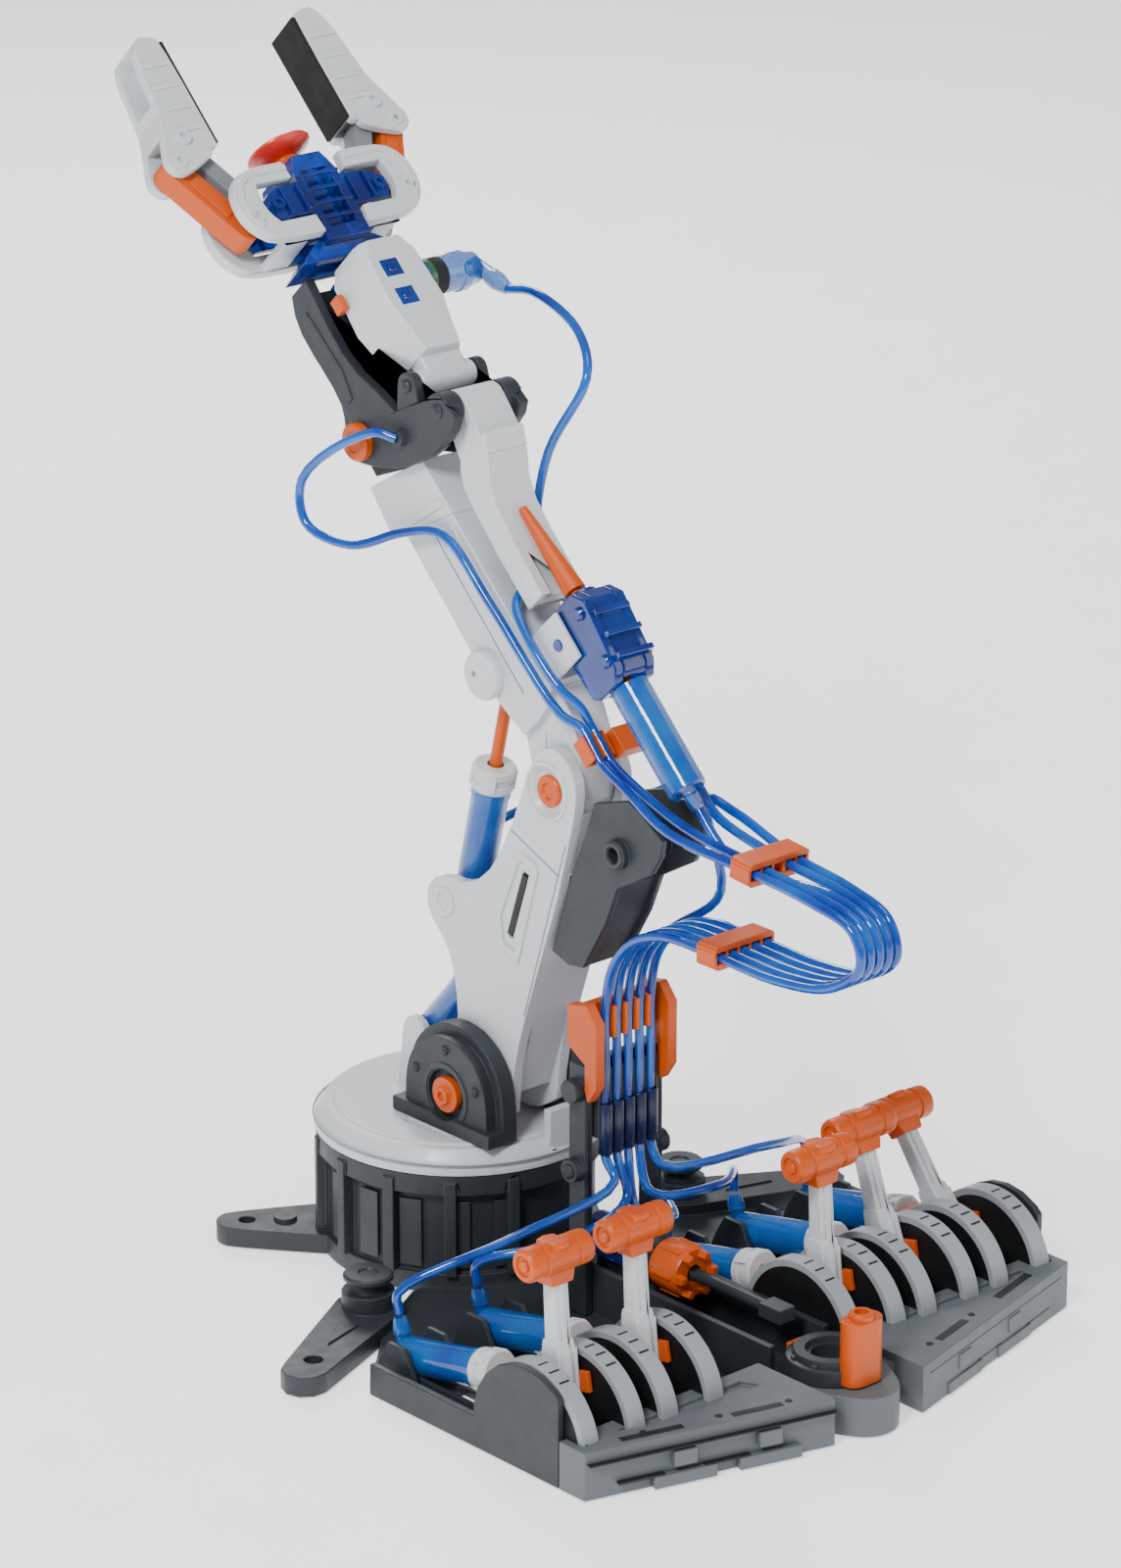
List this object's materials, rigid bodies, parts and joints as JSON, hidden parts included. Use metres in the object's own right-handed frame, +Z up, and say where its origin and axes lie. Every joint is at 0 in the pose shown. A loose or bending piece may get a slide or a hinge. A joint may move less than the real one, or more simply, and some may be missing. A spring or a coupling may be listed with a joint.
{
  "type": "hydraulic robot arm kit",
  "caption": "Desktop hydraulic arm kit: a lever console and crank drive a turntable arm with shoulder, elbow, wrist pitch, wrist roll and a parallel gripper.",
  "frame": {"origin": "on the floor under the turntable's axis", "axes": "+Z up, +Y where the arm reaches, -Y the operator's side, +X to the operator's right"},
  "size_m": [0.248, 0.3357, 0.4021],
  "materials": {
    "white_plastic": "satin moulded white",
    "dark_plastic": "matte moulded slate grey",
    "deck_plastic": "matte moulded warm grey",
    "black_plastic": "matte black",
    "orange_plastic": "satin moulded orange",
    "grey_plastic": "satin grey",
    "blue_plastic": "clear tinted blue",
    "hose_plastic": "clear tinted blue hose",
    "red_rubber": "smooth red rubber"
  },
  "bodies": {
    "root": {"base_shell": "dark_plastic", "control_chassis": "dark_plastic", "control_deck": "deck_plastic", "hose_comb": "dark_plastic", "hose_clamp": "orange_plastic", "control_cylinder_1": "blue_plastic", "control_cylinder_2": "blue_plastic", "control_cylinder_3": "blue_plastic", "control_cylinder_4": "blue_plastic", "control_cylinder_5": "blue_plastic", "crank_cylinder": "orange_plastic", "hose_1": "hose_plastic", "hose_2": "hose_plastic", "hose_3": "hose_plastic", "hose_4": "hose_plastic", "hose_5": "hose_plastic"},
    "turntable": {"turntable": "white_plastic", "shoulder_bearing_left": "dark_plastic", "shoulder_bearing_right": "dark_plastic", "shoulder_pin": "orange_plastic"},
    "lower_arm": {"lower_arm": "white_plastic", "elbow_pin": "orange_plastic", "rear_bracket": "dark_plastic"},
    "upper_arm": {"upper_arm": "white_plastic", "wrist_clevis": "black_plastic", "wrist_pin": "orange_plastic", "arm_clip": "orange_plastic", "pitch_cylinder": "blue_plastic"},
    "forearm": {"forearm_shell": "dark_plastic", "forearm_cover": "white_plastic", "gripper_cylinder": "blue_plastic", "roll_cylinder": "blue_plastic"},
    "hand": {"gripper_frame": "blue_plastic", "bracket_left": "white_plastic", "bracket_right": "white_plastic", "suction_cup": "red_rubber"},
    "pitch_link": {"pitch_link": "white_plastic", "pitch_rod": "orange_plastic"},
    "outer_link_left": {"outer_link_left": "orange_plastic"},
    "outer_link_right": {"outer_link_right": "orange_plastic"},
    "inner_link_left": {"inner_link_left": "grey_plastic"},
    "inner_link_right": {"inner_link_right": "grey_plastic"},
    "jaw_left": {"jaw_left": "white_plastic"},
    "jaw_right": {"jaw_right": "white_plastic"},
    "shoulder_cylinder": {"shoulder_cylinder": "blue_plastic"},
    "shoulder_rod": {"shoulder_rod": "orange_plastic"},
    "elbow_cylinder": {"elbow_cylinder": "blue_plastic"},
    "elbow_rod": {"elbow_rod": "orange_plastic"},
    "crank": {"crank": "orange_plastic"},
    "crank_rod": {"crank_rod": "orange_plastic"},
    "lever_1": {"lever_1": "white_plastic"},
    "lever_2": {"lever_2": "white_plastic"},
    "lever_3": {"lever_3": "white_plastic"},
    "lever_4": {"lever_4": "white_plastic"},
    "lever_5": {"lever_5": "white_plastic"},
    "control_rod_1": {"control_rod_1": "orange_plastic"},
    "control_rod_2": {"control_rod_2": "orange_plastic"},
    "control_rod_3": {"control_rod_3": "orange_plastic"},
    "control_rod_4": {"control_rod_4": "orange_plastic"},
    "control_rod_5": {"control_rod_5": "orange_plastic"}
  },
  "joints": [
    {"name": "base_rotation", "type": "hinge", "parent": "root", "child": "turntable", "pos_m": [0, 0, 0.0475], "axis": [0, 0, 1], "range_deg": [-35, 35], "deforming": ["hose_1", "hose_2", "hose_3", "hose_4", "hose_5"]},
    {"name": "shoulder", "type": "hinge", "parent": "turntable", "child": "lower_arm", "pos_m": [0, -0.02, 0.065], "axis": [-1, 0, 0], "range_deg": [-5, 35]},
    {"name": "elbow", "type": "hinge", "parent": "lower_arm", "child": "upper_arm", "pos_m": [0, -0.058, 0.1795], "axis": [-1, 0, 0], "range_deg": [-6, 36]},
    {"name": "wrist_pitch", "type": "hinge", "parent": "upper_arm", "child": "forearm", "pos_m": [0, 0.02961, 0.27899], "axis": [-1, 0, 0], "range_deg": [-8, 35]},
    {"name": "wrist_roll", "type": "hinge", "parent": "forearm", "child": "hand", "pos_m": [0, 0.0856, 0.359], "axis": [0, 0.7071, 0.7071], "range_deg": [-75, 75]},
    {"name": "gripper", "type": "hinge", "parent": "hand", "child": "outer_link_left", "pos_m": [-0.032, 0.06969, 0.34309], "axis": [0, 0.7071, -0.7071], "range_deg": [-8, 36]},
    {"name": "outer_link_right_turn", "type": "hinge", "parent": "hand", "child": "outer_link_right", "pos_m": [0.032, 0.06969, 0.34309], "axis": [0, -0.7071, 0.7071], "range_deg": [-8.5, 36.5]},
    {"name": "inner_link_left_turn", "type": "hinge", "parent": "hand", "child": "inner_link_left", "pos_m": [-0.0215, 0.07181, 0.34521], "axis": [0, 0.7071, -0.7071], "range_deg": [-8.5, 36.5]},
    {"name": "inner_link_right_turn", "type": "hinge", "parent": "hand", "child": "inner_link_right", "pos_m": [0.0215, 0.07181, 0.34521], "axis": [0, -0.7071, 0.7071], "range_deg": [-8.5, 36.5]},
    {"name": "jaw_left_turn", "type": "hinge", "parent": "outer_link_left", "child": "jaw_left", "pos_m": [-0.046, 0.08914, 0.36254], "axis": [0, 0.7071, -0.7071], "range_deg": [-36.5, 8.5]},
    {"name": "jaw_right_turn", "type": "hinge", "parent": "outer_link_right", "child": "jaw_right", "pos_m": [0.046, 0.08914, 0.36254], "axis": [0, -0.7071, 0.7071], "range_deg": [-36.5, 8.5]},
    {"name": "shoulder_cylinder_swing", "type": "hinge", "parent": "turntable", "child": "shoulder_cylinder", "pos_m": [0, 0.012, 0.074], "axis": [-1, 0, 0], "range_deg": [-4.85, 30.93]},
    {"name": "shoulder_rod_slide", "type": "slide", "parent": "shoulder_cylinder", "child": "shoulder_rod", "axis": [0, -0.6631, 0.7485], "range_m": [-0.01987, 0.00318]},
    {"name": "elbow_cylinder_swing", "type": "hinge", "parent": "lower_arm", "child": "elbow_cylinder", "pos_m": [0, -0.00695, 0.12728], "axis": [-1, 0, 0], "range_deg": [-1.78, 8.18]},
    {"name": "elbow_rod_slide", "type": "slide", "parent": "elbow_cylinder", "child": "elbow_rod", "axis": [0, -0.2353, 0.9719], "range_m": [-0.02599, 0.00467]},
    {"name": "pitch_link_slide", "type": "slide", "parent": "upper_arm", "child": "pitch_link", "axis": [0, 0.7071, 0.7071], "range_m": [-0.00599, 0.02483]},
    {"name": "lever_1_tilt", "type": "hinge", "parent": "root", "child": "lever_1", "pos_m": [-0.088, -0.15, 0.0095], "axis": [1, 0, 0], "range_deg": [-5.3, 22.1]},
    {"name": "control_rod_1_slide", "type": "slide", "parent": "root", "child": "control_rod_1", "axis": [0, -0.9777, 0.2102], "range_m": [-0.00166, 0.00605]},
    {"name": "lever_2_tilt", "type": "hinge", "parent": "root", "child": "lever_2", "pos_m": [-0.0545, -0.15, 0.0095], "axis": [1, 0, 0], "range_deg": [-23, 23]},
    {"name": "control_rod_2_slide", "type": "slide", "parent": "root", "child": "control_rod_2", "axis": [0, -0.9777, 0.2102], "range_m": [-0.00629, 0.00629]},
    {"name": "lever_3_tilt", "type": "hinge", "parent": "root", "child": "lever_3", "pos_m": [0.027, -0.15, 0.0095], "axis": [1, 0, 0], "range_deg": [-5.3, 21.5]},
    {"name": "control_rod_3_slide", "type": "slide", "parent": "root", "child": "control_rod_3", "axis": [0, -0.9777, 0.2102], "range_m": [-0.00166, 0.0059]},
    {"name": "lever_4_tilt", "type": "hinge", "parent": "root", "child": "lever_4", "pos_m": [0.0605, -0.15, 0.0095], "axis": [1, 0, 0], "range_deg": [-5.3, 29.3]},
    {"name": "control_rod_4_slide", "type": "slide", "parent": "root", "child": "control_rod_4", "axis": [0, -0.9777, 0.2102], "range_m": [-0.00166, 0.00794]},
    {"name": "lever_5_tilt", "type": "hinge", "parent": "root", "child": "lever_5", "pos_m": [0.094, -0.15, 0.0095], "axis": [1, 0, 0], "range_deg": [-5.5, 35.5]},
    {"name": "control_rod_5_slide", "type": "slide", "parent": "root", "child": "control_rod_5", "axis": [0, -0.9777, 0.2102], "range_m": [-0.00171, 0.00956]},
    {"name": "crank_turn", "type": "hinge", "parent": "root", "child": "crank", "pos_m": [0, -0.18, 0.015], "axis": [0, 0, 1], "range_deg": [-35.5, 35.5]},
    {"name": "crank_rod_slide", "type": "slide", "parent": "root", "child": "crank_rod", "axis": [0, -1, 0], "range_m": [-0.00407, 0.00407]}
  ],
  "couplings": [
    {"joint": "outer_link_right_turn", "follows": "gripper", "ratio": 1},
    {"joint": "inner_link_left_turn", "follows": "gripper", "ratio": 1},
    {"joint": "inner_link_right_turn", "follows": "gripper", "ratio": 1},
    {"joint": "jaw_left_turn", "follows": "gripper", "ratio": -1},
    {"joint": "jaw_right_turn", "follows": "gripper", "ratio": -1},
    {"joint": "shoulder_cylinder_swing", "follows": "shoulder", "ratio": 0.86954},
    {"joint": "shoulder_rod_slide", "follows": "shoulder", "m_per_rad": -0.03187},
    {"joint": "elbow_cylinder_swing", "follows": "elbow", "ratio": 0.21333},
    {"joint": "elbow_rod_slide", "follows": "elbow", "m_per_rad": -0.04073},
    {"joint": "pitch_link_slide", "follows": "wrist_pitch", "m_per_rad": 0.04},
    {"joint": "lever_1_tilt", "follows": "gripper", "ratio": 0.6},
    {"joint": "control_rod_1_slide", "follows": "gripper", "m_per_rad": 0.009},
    {"joint": "lever_2_tilt", "follows": "wrist_roll", "ratio": 0.3},
    {"joint": "control_rod_2_slide", "follows": "wrist_roll", "m_per_rad": 0.0045},
    {"joint": "lever_3_tilt", "follows": "wrist_pitch", "ratio": 0.6},
    {"joint": "control_rod_3_slide", "follows": "wrist_pitch", "m_per_rad": 0.009},
    {"joint": "lever_4_tilt", "follows": "elbow", "ratio": 0.8},
    {"joint": "control_rod_4_slide", "follows": "elbow", "m_per_rad": 0.012},
    {"joint": "lever_5_tilt", "follows": "shoulder", "ratio": 1},
    {"joint": "control_rod_5_slide", "follows": "shoulder", "m_per_rad": 0.015},
    {"joint": "crank_turn", "follows": "base_rotation", "ratio": 1},
    {"joint": "crank_rod_slide", "follows": "base_rotation", "m_per_rad": 0.006}
  ]
}
